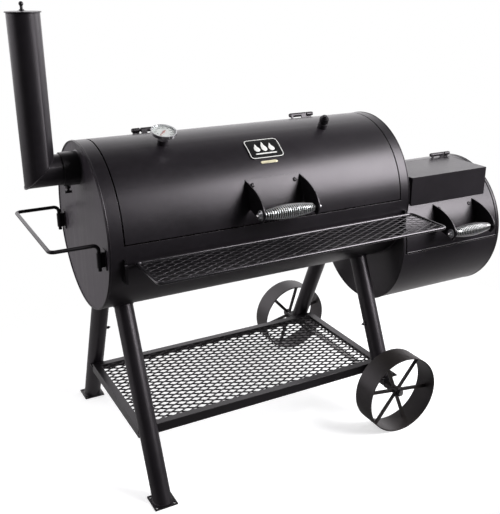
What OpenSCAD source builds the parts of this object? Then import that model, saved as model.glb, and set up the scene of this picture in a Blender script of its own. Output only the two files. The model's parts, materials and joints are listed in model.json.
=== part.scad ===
// Offset barrel smoker: a horizontal cooking barrel with a firebox on its right end,
// a chimney on its left end, two expanded-metal shelves and two steel wheels.
// Front is -Y, the chimney is on -X, the floor is z = 0.

/* [Cooking barrel] */
// Outer diameter of the cooking barrel
barrel_d = 508; // [480:1:530]
// Length of the cooking barrel over its end caps
barrel_len = 1030; // [980:5:1100]
// Height of the barrel's axis above the floor
barrel_axis_h = 778; // [760:1:800]
// Thickness of all rolled and flat sheet
sheet = 3; // [2:0.5:4]

/* [Firebox] */
// Outer diameter of the firebox
firebox_d = 488; // [470:1:500]
// Length of the firebox over its end caps
firebox_len = 443; // [420:1:480]
// How far the firebox axis lies below the barrel axis
firebox_drop = 188; // [175:1:200]
// How far the square front of the firebox lid stands ahead of the axis
nose_reach = 196; // [185:1:205]

/* [Lids] */
// Gap between a lid and the shell around it
lid_gap = 4; // [2:0.5:5]
// Width of the fixed band at the barrel's left end
left_band = 42; // [36:1:50]
// Width of the fixed band at the barrel's right end
right_band = 36; // [34:1:42]
// Width of the fixed bands at both ends of the firebox
firebox_band = 12; // [10:1:20]

/* [Chimney] */
// Outer diameter of the chimney pipe
stack_d = 89; // [80:1:94]
// Distance of the chimney axis from the barrel's left end
stack_offset = 110; // [104:1:125]
// Height of the chimney's mouth above the floor
stack_top_h = 1385; // [1250:1:1500]

/* [Undercarriage] */
// Outer diameter of the leg tubes
leg_d = 57.5; // [50:0.5:58]
// Distance of each foot from the centre plane, at the floor
foot_spread = 354; // [345:1:358]
// Height of the bottom shelf's top face
shelf_h = 188; // [180:1:200]
// Outer diameter of the wheels
wheel_d = 274; // [268:1:280]
// Width of the wheel rims
wheel_w = 84; // [70:1:84]

/* [Front shelf] */
// Depth of the front shelf, from its back rod to its front rod
front_shelf_depth = 166; // [150:1:190]

/* [Hidden] */
$fn = 64;
paint = "#2b292c";
paint_dark = "#1d1c1e";
bright = "#c9cacc";
white = "#f1f1ee";
brass = "#b48a3c";

// Main radii and heights
barrel_r = barrel_d / 2;
firebox_r = firebox_d / 2;
firebox_x0 = barrel_len;
firebox_x1 = firebox_x0 + firebox_len;
firebox_h = barrel_axis_h - firebox_drop;
stack_r = stack_d / 2;
leg_r = leg_d / 2;
wheel_r = wheel_d / 2;

// Lid openings, as angles about a barrel's axis: 0 points forward, 90 points up
lid_front = 1.5;
lid_back = 105;
firebox_lid_front = -2;
firebox_lid_back = 92;
lid_x0 = left_band;
lid_x1 = barrel_len - right_band;
firebox_lid_x0 = firebox_x0 + firebox_band;
firebox_lid_x1 = firebox_x1 - firebox_band;
nose_x0 = firebox_x0 + 58;
nose_x1 = firebox_x1 - 48;
nose_lift = 1;
firebox_top = firebox_r + nose_lift;

// Weld-on barrel hinges
hinge_r = 7;
hinge_pin_r = 3.5;
hinge_head_r = 6;
running = 0.05;
hinge_stand = 11;
hinge_len = 84;
hinge_short = 21;
hinge_split = 5;
hinge_foot = 18;
hinge_toe = 7;
lid_hinge_x = [240, 802];
firebox_hinge_x = [firebox_x0 + 90, firebox_x1 - 85];

// Sheet handles with a coil-spring grip
fin_t = 3;
fin_top = [44, -4];
fin_control_a = [0, 68];
fin_shoulder = [-50, 81];
fin_control_b = [-80, 88.8];
fin_tip = [-92, 58];
fin_root = [-40, -6];
grip_axis = [-68, 58];
grip_rod_r = 5;
grip_end_r = 13;
grip_mid_r = 22;
grip_turns = 26;
grip_play = 4;
lid_handle_angle = 22;
lid_handle_x = [434, 622];
firebox_handle_angle = 24.5;
firebox_handle_x = [firebox_x0 + 153, firebox_x0 + 333];
backing_t = 2.5;

// Dial thermometer and the plugged second port
thermo_x = 234;
thermo_angle = 71;
plug_x = 787;
plug_angle = 70;
bushing_r = 16;
bushing_h = 14;
port_r = 9;
dial_r = 38;
case_base = 34;
case_top = 43;
case_well = 7;
needle_h = case_top - 4.6;

// Badge on the lid
badge_x = 536;
badge_angle = 54.6;
badge_w = 118;
badge_h = 78;
badge_corner = 14;
badge_t = 2.4;
tag_x = 534;
tag_angle = 43.2;
tag_w = 58;
tag_h = 9.4;

// Chimney
stub_rise = 179;
stack_wall = 2.5;
collar_r = 49;
collar_len = 50;
stack_cap_r = 48;
stack_cap_t = 3;
cap_pivot_angle = 80.5;
cap_pivot_reach = 56;
cap_pivot_r = 4;

// Side handle
rod_r = 5.5;
loop_y = 210;
loop_rise = 8;
loop_reach = 150;
loop_stand = 17;
loop_bend = 16;

// Front shelf
front_rod_r = 5;
front_shelf_x0 = 70;
front_shelf_x1 = 1036;
front_shelf_y = -264;
front_shelf_drop = 44;
front_bend = 14;

// Legs, feet and axle
leg_left_x = 77;
leg_right_x = 946;
foot_side = 72;
foot_t = 5;
foot_hole_r = 4;
foot_hole_pitch = 56;
leg_meet_drop = 194;
leg_slope = (foot_spread - 84.5) / (barrel_axis_h - leg_meet_drop);
leg_angle = atan(leg_slope);
axle_r = 8;
axle_plate_h = 163;
gusset_half = 25;
gusset_depth = 30;
sleeve_r = 13;
sleeve_half = 28;
hub_r = 14;
wheel_y = 354;
rim_t = 4;
spoke_w = 12;
spoke_t = 6;
spoke_step = 5.5;
front_spoke_angle = 52;
back_spoke_angle = 73;
hub_in = 311;
hub_out = 372;
axle_end = 386;

// Bottom shelf
shelf_x0 = 55;
shelf_x1 = 975;
shelf_half = 234;
angle_flange = 25;
angle_drop = 32;
angle_t = 3;
mesh_t = 2;

// Grates
grate_drop = 16;
grate_bar_r = 3;
grate_pitch = 20;
grate_half = 238;
fire_grate_drop = 95;
fire_bar_r = 5;

// Ash door and air damper on the firebox's outer end
door_w = 224;
door_h = 150;
door_gap = 2.5;
port_w = 190;
port_h = 112;
port_drop = 134;
door_hinge_r = 6;
door_pin_r = 3;
damper_r = 56;
vent_r = 15;
vent_ring = 34;
door_pull_reach = 34;
pull_r = 5;

// The object's centre on the floor is the origin
reach_left = stack_offset + stack_cap_r;
reach_right = firebox_x1 + door_pull_reach;
reach_front = front_shelf_depth - front_shelf_y + front_rod_r;
reach_back = wheel_y + wheel_w / 2;
origin_x = (reach_right - reach_left) / 2;
origin_y = (reach_front - reach_back) / 2;

// ---- Frames ----

module from_left_end(h = 0) {
    translate([-origin_x, origin_y, h]) children();
}

module barrel_frame() {
    from_left_end(barrel_axis_h) children();
}

module firebox_frame() {
    from_left_end(firebox_h) children();
}

// Puts +Z along the outward radius at an angle, and +Y up along the surface
module at_angle(x, angle, r) {
    translate([x, 0, 0]) rotate([90 - angle, 0, 0]) translate([0, 0, r]) children();
}

// ---- Shared shapes ----

module block(lo, hi) {
    translate(lo) cube(hi - lo);
}

module rod_x(x0, x1, r) {
    translate([x0, 0, 0]) rotate([0, 90, 0]) cylinder(h = x1 - x0, r = r);
}

module rod_y(y0, y1, r) {
    translate([0, y0, 0]) rotate([-90, 0, 0]) cylinder(h = y1 - y0, r = r);
}

module tube_x(x0, x1, r, wall) {
    difference() {
        rod_x(x0, x1, r);
        rod_x(x0 - 1, x1 + 1, r - wall);
    }
}

// A profile drawn in (Y, Z), extruded along X
module along_x(x0, x1) {
    translate([x0, 0, 0]) rotate([90, 0, 90]) linear_extrude(x1 - x0) children();
}

function spoke_point(r, angle) = [-r * cos(angle), r * sin(angle)];

module wedge(x0, x1, r, from, to) {
    steps = 4;
    rim = [for (i = [0 : steps]) spoke_point(r, from + (to - from) * i / steps)];
    along_x(x0, x1) polygon(concat([[0, 0]], rim));
}

// A sector of rolled sheet between two angles
module rolled_sector(x0, x1, r, wall, from, to) {
    intersection() {
        tube_x(x0, x1, r, wall);
        wedge(x0 - 1, x1 + 1, r * 1.4, from, to);
    }
}

function gap_angle(r) = lid_gap / r * 180 / PI;

// ---- Barrel ----

module barrel_shell() color(paint) barrel_frame() difference() {
    tube_x(sheet, barrel_len - sheet, barrel_r, sheet);
    wedge(lid_x0, lid_x1, barrel_r * 1.4, lid_front, lid_back);
}

module left_end_cap() color(paint) barrel_frame() difference() {
    rod_x(0, sheet, barrel_r);
    translate([0, 0, stub_rise]) rod_x(-1, sheet + 1, stack_r - stack_wall);
}

// The fire's way in: the overlap of a circle in the barrel and one in the firebox
module fire_throat(x0, x1) {
    intersection() {
        rod_x(x0, x1, barrel_r - 39);
        translate([0, 0, -firebox_drop]) rod_x(x0, x1, firebox_r - 94);
    }
}

module right_end_cap() color(paint) barrel_frame() difference() {
    rod_x(barrel_len - sheet, barrel_len, barrel_r);
    fire_throat(barrel_len - sheet - 1, barrel_len + 1);
}

module grate_rail(x0, x1, r, drop) {
    inner = sqrt(pow(r - sheet, 2) - pow(drop + 2 * sheet, 2)) - 0.2;
    for (side = [-1, 1]) {
        near = side > 0 ? inner - 24 : -inner;
        block([x0, near, -drop - sheet], [x1, near + 24, -drop]);
    }
}

module grate_rails() color(paint_dark) {
    barrel_frame() grate_rail(20, barrel_len - 20, barrel_r, grate_drop + grate_bar_r);
    firebox_frame() grate_rail(firebox_x0 + 20, firebox_x1 - 20, firebox_r,
        fire_grate_drop + fire_bar_r);
}

// Parallel bars along Y, joined by three bars along X
module bar_grate(x0, x1, half, r, pitch) {
    count = floor((x1 - x0) / pitch);
    for (i = [0 : count]) {
        translate([x0 + i * pitch, 0, 0]) rod_y(-half, half, r);
    }
    for (y = [-half + 20, 0, half - 20]) {
        translate([0, y, 0]) rod_x(x0 - r, x0 + count * pitch + r, r * 0.9);
    }
}

module cooking_grate(x0) {
    barrel_frame() translate([0, 0, -grate_drop])
        bar_grate(x0, x0 + 480, grate_half, grate_bar_r, grate_pitch);
}

module cooking_grate_left() color(paint_dark) cooking_grate(28);
module cooking_grate_right() color(paint_dark) cooking_grate(barrel_len - 28 - 480);

// ---- Hinges ----

// One knuckle on the feet that weld it to its own side of the seam: side 1 is the back.
// The feet are coped to the rolled sheet, whose radius may differ from the hinge's.
module knuckle(x0, x1, feet, r, angle, side, foot_r) {
    leaf_y = side > 0 ? [2, hinge_r] : [-hinge_r, -2];
    at_angle(0, angle, r + hinge_stand) difference() {
        union() {
            rod_x(x0, x1, hinge_r);
            for (foot = feet)
                block([foot[0], leaf_y[0], -hinge_stand - 2], [foot[1], leaf_y[1], 0]);
        }
        rod_x(x0 - 1, x1 + 1, hinge_pin_r + running);
        translate([0, 0, -r - hinge_stand]) rod_x(x0 - 1, x1 + 1, foot_r);
    }
}

// The left hinge of a pair has its short knuckle on the left, and the right hinge has it on
// the right. The short knuckles are fixed. A long one moves, and stands on a foot and a toe.
module hinge_half(xs, r, angle, fixed, foot_r) {
    for (i = [0, 1]) {
        x0 = xs[i] - hinge_len / 2;
        x1 = xs[i] + hinge_len / 2;
        if (fixed) {
            from = i == 0 ? x0 : x1 - hinge_short;
            to = from + hinge_short;
            knuckle(from, to, [[from, to]], r, angle, 1, foot_r);
        } else if (i == 0) {
            from = x0 + hinge_short + hinge_split;
            knuckle(from, x1, [[from, from + hinge_foot], [x1 - hinge_toe, x1]], r, angle, -1,
                foot_r);
        } else {
            to = x1 - hinge_short - hinge_split;
            knuckle(x0, to, [[x0, x0 + hinge_toe], [to - hinge_foot, to]], r, angle, -1, foot_r);
        }
    }
}

module hinge_pin(x, r, angle) {
    end = hinge_len / 2;
    at_angle(x, angle, r + hinge_stand) {
        rod_x(-end - 3.5, end + 3.5, hinge_pin_r);
        for (head = [-end - 3.5, end + 1]) rod_x(head, head + 2.5, hinge_head_r);
    }
}

module fixed_hinge_knuckles() color(paint_dark) {
    barrel_frame() hinge_half(lid_hinge_x, barrel_r, lid_back, true, barrel_r + 0.05);
    firebox_frame() hinge_half(firebox_hinge_x, firebox_top, firebox_lid_back, true,
        firebox_r + 0.05);
}

module hinge_pins() color(paint_dark) {
    barrel_frame() for (x = lid_hinge_x) hinge_pin(x, barrel_r, lid_back);
    firebox_frame() for (x = firebox_hinge_x)
        hinge_pin(x, firebox_top, firebox_lid_back);
}

module lid_hinge_knuckles() color(paint_dark) barrel_frame()
    hinge_half(lid_hinge_x, barrel_r, lid_back, false, barrel_r + 0.05);

module firebox_lid_knuckles() color(paint_dark) firebox_frame()
    hinge_half(firebox_hinge_x, firebox_top, firebox_lid_back, false, firebox_top + 0.05);

// ---- Chimney ----

// Pipe and stub as one shape, mitred at 45 degrees
module mitred_pipe(r, top, mouth) {
    difference() {
        translate([-stack_offset, 0, -2 * r]) cylinder(h = top + 2 * r, r = r);
        mitre_cut(r, 1);
    }
    difference() {
        rod_x(-stack_offset - 2 * r, mouth, r);
        mitre_cut(r, -1);
    }
}

// Everything below the mitre line (side 1) or above it (side -1)
module mitre_cut(r, side) {
    far = 8 * r;
    points = [[-far, -far], [far, far], [side * far, -side * far]];
    translate([-stack_offset, 0, 0]) rotate([90, 0, 0]) translate([0, 0, -2 * r])
        linear_extrude(4 * r) polygon(points);
}

module stack_frame() {
    barrel_frame() translate([0, 0, stub_rise]) children();
}

stack_rise = stack_top_h - barrel_axis_h - stub_rise;

module cap_pivot_place() {
    translate([-stack_offset + cap_pivot_reach * cos(cap_pivot_angle),
        cap_pivot_reach * sin(cap_pivot_angle), stack_rise]) children();
}

module smokestack() color(paint) stack_frame() difference() {
    union() {
        mitred_pipe(stack_r, stack_rise, -1);
        // Lug that carries the cap's pivot
        cap_pivot_place() translate([0, 0, -16]) cylinder(h = 14, r = 9);
        translate([-stack_offset, 0, stack_rise - 16]) rotate([0, 0, cap_pivot_angle])
            block([stack_r - 1, -6, 1], [cap_pivot_reach, 6, 13]);
    }
    mitred_pipe(stack_r - stack_wall, stack_rise + 1, 0);
    cap_pivot_place() translate([0, 0, -17]) cylinder(h = 16, r = cap_pivot_r + running);
}

module stack_collar() color(paint_dark) stack_frame() difference() {
    rod_x(-collar_len, 0, collar_r);
    rod_x(-collar_len - 1, 1, stack_r + 0.3);
    translate([-collar_len * 0.65, 0, -collar_r - 1]) cylinder(h = 6, r = 4.1);
}

module stack_thumb_screw() color(paint_dark) stack_frame()
    translate([-collar_len * 0.65, 0, -stack_r - 0.35]) {
        translate([0, 0, -24]) cylinder(h = 24, r = 4);
        translate([0, 0, -13]) cylinder(h = 7, r = 8, $fn = 6);
        block([-10, -3, -27], [10, 3, -20]);
    }

module stack_cap_pivot() color(paint_dark) stack_frame() cap_pivot_place() {
    translate([0, 0, -22]) cylinder(h = 40, r = cap_pivot_r);
    translate([0, 0, -22]) cylinder(h = 5.5, r = 8, $fn = 6);
    // Ball knob on a collar above the cap
    translate([0, 0, stack_cap_t + 1.3]) cylinder(h = 3, r = 7);
    translate([0, 0, 17]) cylinder(h = 6, r1 = cap_pivot_r, r2 = 3);
    translate([0, 0, 21.5]) sphere(r = 6.5);
}

module stack_cap() color(paint) stack_frame() difference() {
    union() {
        translate([-stack_offset, 0, stack_rise + 1]) cylinder(h = stack_cap_t, r = stack_cap_r);
        cap_pivot_place() translate([0, 0, 1]) cylinder(h = stack_cap_t, r = 12);
    }
    cap_pivot_place() cylinder(h = 8, r = cap_pivot_r + running);
}

// ---- Side handle ----

module quarter_bend(r, bend) {
    rotate_extrude(angle = 90) translate([bend, 0]) circle(r);
}

module side_handle() color(paint_dark) barrel_frame() translate([0, 0, loop_rise]) {
    straight = loop_y - loop_bend;
    translate([-loop_reach, 0, 0]) rod_y(-straight, straight, rod_r);
    for (side = [-1, 1]) {
        translate([0, side * loop_y, 0]) {
            rod_x(-loop_reach + loop_bend, -loop_stand - loop_bend, rod_r);
            translate([-loop_stand, 0, -76]) cylinder(h = 76 - loop_bend, r = rod_r);
            translate([-loop_stand - loop_bend, 0, -loop_bend])
                rotate([90, 0, 0]) quarter_bend(rod_r, loop_bend);
        }
        translate([-loop_reach + loop_bend, side * straight, 0])
            rotate([0, 0, side > 0 ? 90 : 180]) quarter_bend(rod_r, loop_bend);
    }
}

module side_handle_sockets() color(paint_dark) barrel_frame()
    for (side = [-1, 1]) translate([0, side * loop_y, 0]) difference() {
        union() {
            translate([-loop_stand, 0, -58]) cylinder(h = 44, r = rod_r + 2.5);
            block([-loop_stand, -3, -58], [0, 3, -14]);
            block([-3, -13, -66], [0, 13, -6]);
        }
        translate([-loop_stand, 0, -59]) cylinder(h = 70, r = rod_r + 0.2);
    }

// ---- Expanded metal ----

// A sheet of pointed openings, long way along X, with a plain border and cut corners
module expanded_panel(size, columns, rows, strand, corner) {
    pitch_x = size[0] / (columns + 0.5);
    pitch_y = size[1] / (rows + 0.5);
    function opening(c, r, shift) = [
        [(c + shift) * pitch_x + strand, (r + shift) * pitch_y + pitch_y / 2],
        [(c + shift + 0.5) * pitch_x, (r + shift + 1) * pitch_y - strand],
        [(c + shift + 1) * pitch_x - strand, (r + shift) * pitch_y + pitch_y / 2],
        [(c + shift + 0.5) * pitch_x, (r + shift) * pitch_y + strand]];
    w = size[0];
    d = size[1];
    difference() {
        polygon([[corner, 0], [w - corner, 0], [w, corner], [w, d - corner],
            [w - corner, d], [corner, d], [0, d - corner], [0, corner]]);
        for (c = [0 : columns - 1], r = [0 : rows - 1], shift = [0, 0.5]) {
            polygon(opening(c, r, shift));
        }
    }
}

// ---- Front shelf ----

module front_shelf_frame() color(paint_dark) barrel_frame()
    translate([0, front_shelf_y, -front_shelf_drop]) {
        front = -front_shelf_depth;
        for (y = [0, front]) translate([0, y, 0])
            rod_x(front_shelf_x0 + front_bend, front_shelf_x1 - front_bend, front_rod_r);
        for (x = [front_shelf_x0, front_shelf_x1]) translate([x, 0, 0])
            rod_y(front + front_bend, -front_bend, front_rod_r);
        corner(front_shelf_x0 + front_bend, -front_bend, 90);
        corner(front_shelf_x0 + front_bend, front + front_bend, 180);
        corner(front_shelf_x1 - front_bend, front + front_bend, 270);
        corner(front_shelf_x1 - front_bend, -front_bend, 0);
    }

module corner(x, y, turn) {
    translate([x, y, 0]) rotate([0, 0, turn]) quarter_bend(front_rod_r, front_bend);
}

module front_shelf_mesh() color(paint) barrel_frame()
    translate([front_shelf_x0 + front_rod_r,
        front_shelf_y - front_shelf_depth + front_rod_r, -front_shelf_drop])
        linear_extrude(mesh_t) expanded_panel([front_shelf_x1 - front_shelf_x0 - 2 * front_rod_r,
            front_shelf_depth - 2 * front_rod_r], 14, 4, 4, front_bend - front_rod_r + 1);

// Webs coped to the barrel, each with an arm out to the shelf's back corner
module front_shelf_brackets() color(paint_dark) barrel_frame() {
    for (web = [[38, front_shelf_x0 - front_rod_r], [1008, 1008]]) {
        difference() {
            union() {
                block([web[0], -263, -102], [web[0] + 8, -220, -30]);
                block([web[0], -263, -front_shelf_drop - 12],
                    [web[1] + 8, -255, -front_shelf_drop - 4]);
            }
            rod_x(0, barrel_len, barrel_r + 0.05);
            translate([0, front_shelf_y, -front_shelf_drop]) {
                rod_x(0, front_shelf_x1, front_rod_r + 0.05);
                translate([front_shelf_x0, 0, 0]) rod_y(-30, 0, front_rod_r + 0.05);
            }
        }
    }
}

// ---- Undercarriage ----

function leg_y(z) = foot_spread - z * leg_slope;

module leg_line(x, side, z0, length, r) {
    translate([x, side * leg_y(z0), z0]) rotate([side * leg_angle, 0, 0])
        cylinder(h = length, r = r);
}

module leg(x, side, bottom) {
    from_left_end() difference() {
        leg_line(x, side, -60, 760, leg_r);
        leg_line(x, side, -61, 762, leg_r - stack_wall);
        block([x - 80, -600, -200], [x + 80, 600, bottom]);
        translate([0, 0, barrel_axis_h]) rod_x(0, barrel_len, barrel_r + 0.05);
    }
}

module leg_front_left() color(paint) leg(leg_left_x, -1, foot_t);
module leg_back_left() color(paint) leg(leg_left_x, 1, foot_t);
module leg_front_right() color(paint) leg(leg_right_x, -1, axle_plate_h + foot_t);
module leg_back_right() color(paint) leg(leg_right_x, 1, axle_plate_h + foot_t);

module square_plate(x, y, z) {
    translate([x, y, z]) difference() {
        block([-foot_side / 2, -foot_side / 2, 0], [foot_side / 2, foot_side / 2, foot_t]);
        for (u = [-1, 1], v = [-1, 1]) {
            translate([u * foot_hole_pitch / 2, v * foot_hole_pitch / 2, -1])
                cylinder(h = foot_t + 2, r = foot_hole_r);
        }
    }
}

module foot_plates() color(paint_dark) from_left_end()
    for (side = [-1, 1]) square_plate(leg_left_x, side * foot_spread, 0);

// A wing screw on the inner side of two of the legs
module leg_wing_screws() color(paint_dark) from_left_end() {
    screw_h = 332;
    for (at = [[leg_left_x, 1, 1], [leg_right_x, -1, -1]]) {
        translate([at[0] + at[2] * (leg_r + 0.1), at[1] * leg_y(screw_h), screw_h])
            rotate([0, at[2] * 90, 0]) {
                cylinder(h = 6, r = 4.5);
                translate([0, 0, 6]) cylinder(h = 7, r = 2.5);
                rotate([90, 0, 0]) translate([0, 0, -1.5]) linear_extrude(3)
                    polygon([[-6, 6], [6, 6], [3, 12], [0, 16], [-3, 12]]);
            }
    }
}

module bottom_shelf_frame() color(paint_dark) from_left_end(shelf_h) difference() {
    block([shelf_x0, -shelf_half, -angle_drop], [shelf_x1, shelf_half, 0]);
    block([shelf_x0 + angle_t, -shelf_half + angle_t, -angle_drop - 1],
        [shelf_x1 - angle_t, shelf_half - angle_t, -angle_t]);
    block([shelf_x0 + angle_flange, -shelf_half + angle_flange, -angle_drop - 1],
        [shelf_x1 - angle_flange, shelf_half - angle_flange, 1]);
}

module bottom_shelf_mesh() color(paint) from_left_end(shelf_h - angle_t - mesh_t) {
    margin = angle_t + 1;
    translate([shelf_x0 + margin, -shelf_half + margin, 0]) linear_extrude(mesh_t)
        expanded_panel([shelf_x1 - shelf_x0 - 2 * margin, 2 * (shelf_half - margin)], 16, 12, 4, 2);
}

// Coped plates that tie the shelf's corners to the legs
module shelf_gussets() color(paint_dark) from_left_end()
    for (x = [leg_left_x, leg_right_x], side = [-1, 1]) difference() {
        translate([x, side * (shelf_half + gusset_depth / 2), shelf_h - 12])
            cube([2 * gusset_half, gusset_depth, 4], center = true);
        leg_line(x, side, -60, 700, leg_r + 0.05);
    }

module axle_brackets() color(paint_dark) from_left_end() for (side = [-1, 1]) {
    y = side * leg_y(axle_plate_h);
    square_plate(leg_right_x, y, axle_plate_h);
    translate([leg_right_x, y, wheel_r]) difference() {
        union() {
            rod_y(-sleeve_half, sleeve_half, sleeve_r);
            block([-sleeve_r, -sleeve_half, 0],
                [sleeve_r, sleeve_half, axle_plate_h - wheel_r]);
        }
        rod_y(-sleeve_half - 1, sleeve_half + 1, axle_r + 0.05);
    }
}

module axle() color(bright) from_left_end(wheel_r)
    translate([leg_right_x, 0, 0]) rod_y(-axle_end, axle_end, axle_r);

module ring_y(y0, y1, r, bore) {
    difference() {
        rod_y(y0, y1, r);
        rod_y(y0 - 1, y1 + 1, bore);
    }
}

module axle_nuts() color(bright) from_left_end(wheel_r) translate([leg_right_x, 0, 0])
    for (turn = [0, 180]) rotate([0, 0, turn]) {
        ring_y(hub_in - 3.3, hub_in - 1, 15, axle_r + 0.05);
        ring_y(hub_out + 1, hub_out + 3, 15, axle_r + 0.05);
        difference() {
            rotate([0, 15, 0]) translate([0, hub_out + 3, 0]) rotate([-90, 0, 0])
                cylinder(h = 7, r = 13, $fn = 6);
            rod_y(hub_out, hub_out + 20, axle_r + 0.05);
        }
    }

module wheel(side, turn) {
    from_left_end(wheel_r) translate([leg_right_x, side * wheel_y, 0]) difference() {
        union() {
            ring_y(-wheel_w / 2, wheel_w / 2, wheel_r, wheel_r - rim_t);
            // Three flat bars laid across each other, the first one outermost
            for (i = [0 : 2]) rotate([0, -turn + i * 60, 0])
                translate([0, side * (1 - i) * spoke_step, 0])
                    block([-wheel_r + rim_t - 0.5, -spoke_t / 2, -spoke_w / 2],
                        [wheel_r - rim_t + 0.5, spoke_t / 2, spoke_w / 2]);
            inner = side * (hub_in - wheel_y);
            outer = side * (hub_out - wheel_y);
            rod_y(min(inner, outer), max(inner, outer), hub_r);
        }
        rod_y(-wheel_w, wheel_w, axle_r + 0.06);
    }
}

module wheel_front() color(paint_dark) wheel(-1, front_spoke_angle);
module wheel_back() color(paint_dark) wheel(1, back_spoke_angle);

// ---- Firebox ----

module firebox_shell() color(paint) firebox_frame() difference() {
    tube_x(firebox_x0 + sheet, firebox_x1 - sheet, firebox_r, sheet);
    wedge(firebox_lid_x0, firebox_lid_x1, firebox_r * 1.4, firebox_lid_front, firebox_lid_back);
}

module firebox_inner_cap() color(paint_dark) difference() {
    firebox_frame() rod_x(firebox_x0, firebox_x0 + sheet, firebox_r);
    barrel_frame() fire_throat(firebox_x0 - 1, firebox_x0 + sheet + 1);
}

module firebox_outer_cap() color(paint) firebox_frame() difference() {
    rod_x(firebox_x1 - sheet, firebox_x1, firebox_r);
    block([firebox_x1 - sheet - 1, -port_w / 2, -port_drop - port_h / 2],
        [firebox_x1 + 1, port_w / 2, -port_drop + port_h / 2]);
}

module firebox_grate() color(paint_dark) firebox_frame() translate([0, 0, -fire_grate_drop])
    bar_grate(firebox_x0 + 34, firebox_x1 - 34, 208, fire_bar_r, 28);

// Rolled lid with a square nose box and an open inside
module firebox_lid() color(paint) firebox_frame() {
    x0 = firebox_lid_x0 + lid_gap;
    x1 = firebox_lid_x1 - lid_gap;
    from = firebox_lid_front + gap_angle(firebox_r);
    to = firebox_lid_back - gap_angle(firebox_r);
    difference() {
        union() {
            intersection() {
                rod_x(x0, x1, firebox_r);
                wedge(x0 - 1, x1 + 1, firebox_r * 1.4, from, to);
            }
            block([nose_x0, -nose_reach, 80], [nose_x1, 3, firebox_top]);
        }
        rod_x(x0 - 1, x1 + 1, firebox_r - sheet);
        block([nose_x0 + sheet, -nose_reach + sheet, 79],
            [nose_x1 - sheet, 0, firebox_top - sheet]);
    }
}

// ---- Ash door ----

door_x = firebox_x1 + door_gap;
door_hinge_y = door_w / 2 + door_hinge_r + 2;
door_hinge_x = door_hinge_r - door_gap + 0.5;

module door_frame() {
    firebox_frame() translate([door_x, 0, -port_drop]) children();
}

module door_knuckle(z0, z1) {
    translate([door_hinge_x, door_hinge_y, z0]) difference() {
        cylinder(h = z1 - z0, r = door_hinge_r);
        translate([0, 0, -1]) cylinder(h = z1 - z0 + 2, r = door_pin_r + running);
    }
}

// The fixed outer knuckles, their leaf on the end cap, and the pin
module ash_door_hinge() color(paint_dark) door_frame() {
    for (side = [-1, 1]) {
        z0 = side > 0 ? 21 : -45;
        door_knuckle(z0, z0 + 24);
        block([-door_gap, door_hinge_y + door_hinge_r - 1, z0],
            [1, door_hinge_y + door_hinge_r + 18, z0 + 24]);
    }
    translate([door_hinge_x, door_hinge_y, -48]) cylinder(h = 96, r = door_pin_r);
    translate([door_hinge_x, door_hinge_y, 46]) cylinder(h = 3, r = door_pin_r + 2);
}

module vent_holes(depth) {
    for (i = [0 : 3]) rotate([i * 90, 0, 0]) translate([-1, 0, vent_ring])
        rotate([0, 90, 0]) cylinder(h = depth, r = vent_r);
}

module ash_door() color(paint) door_frame() {
    difference() {
        union() {
            block([0, -door_w / 2, -door_h / 2], [sheet, door_w / 2, door_h / 2]);
            door_leaf();
        }
        vent_holes(sheet + 2);
        rod_x(-1, sheet + 1, 4 + running);
    }
    door_knuckle(-20, 20);
    // Bent-rod pull on the free side
    translate([sheet, -door_w / 2 + 22, 0]) {
        grip_x = door_pull_reach - door_gap - sheet - pull_r;
        for (z = [-24, 24]) translate([0, 0, z]) rod_x(-1, grip_x, pull_r - 1);
        translate([grip_x, 0, -32]) cylinder(h = 64, r = pull_r);
    }
}

module door_leaf() {
    difference() {
        block([0, door_w / 2 - 12, -20], [sheet, door_hinge_y - 1, 20]);
        translate([door_hinge_x, door_hinge_y, -21])
            cylinder(h = 42, r = door_pin_r + 1);
    }
}

// Pinwheel disc that turns over the door's vents
module air_damper() color(paint_dark) door_frame() translate([sheet + 0.4, 0, 0]) {
    difference() {
        rod_x(0, 2.5, damper_r);
        rotate([45, 0, 0]) vent_holes(5);
    }
    rod_x(-sheet - 0.3, 0, 4);
    rod_x(2.5, 7, 9);
    block([2, -damper_r, -4], [14, -damper_r + 6, 4]);
}

// ---- Main lid ----

module main_lid() color(paint) barrel_frame() difference() {
    rolled_sector(lid_x0 + lid_gap, lid_x1 - lid_gap, barrel_r, sheet,
        lid_front + gap_angle(barrel_r), lid_back - gap_angle(barrel_r));
    at_angle(thermo_x, thermo_angle, barrel_r - 20) cylinder(h = 40, r = port_r);
    at_angle(plug_x, plug_angle, barrel_r - 20) cylinder(h = 40, r = port_r);
}

function curve_point(a, b, c, t) = (1 - t) * (1 - t) * a + 2 * t * (1 - t) * b + t * t * c;

// Side plate of a handle: +X is up along the sheet and +Y is outward
function fin_outline() = concat(
    [for (i = [0 : 8]) curve_point(fin_top, fin_control_a, fin_shoulder, i / 8)],
    [for (i = [1 : 6]) curve_point(fin_shoulder, fin_control_b, fin_tip, i / 6)],
    [fin_root]);

module handle_bracket(xs, r, angle) {
    spread = 10.5;
    difference() {
        union() {
            for (x = [xs[0], xs[1] - fin_t]) at_angle(0, angle, r)
                along_x(x, x + fin_t) polygon(fin_outline());
            intersection() {
                rod_x(xs[0] + 1, xs[1] - 1, r + 0.1 + backing_t);
                wedge(xs[0] - 1, xs[1] + 1, r * 1.4, angle - 9, angle + spread);
            }
        }
        rod_x(xs[0] - 1, xs[1] + 1, r + 0.1);
        grip_place(angle, r) rod_x(xs[0] - 1, xs[1] + 1, grip_rod_r + 0.1);
    }
}

module grip_place(angle, r) {
    at_angle(0, angle, r) translate([0, grip_axis[0], grip_axis[1]]) children();
}

module grip_rod(xs, angle, r) {
    grip_place(angle, r) rod_x(xs[0] - 16, xs[1] + 16, grip_rod_r);
}

// Coil spring grip, fatter in the middle: one ridge for each turn of wire
function coil_r(t) = grip_end_r + (grip_mid_r - grip_end_r) * sin(180 * t);

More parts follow.
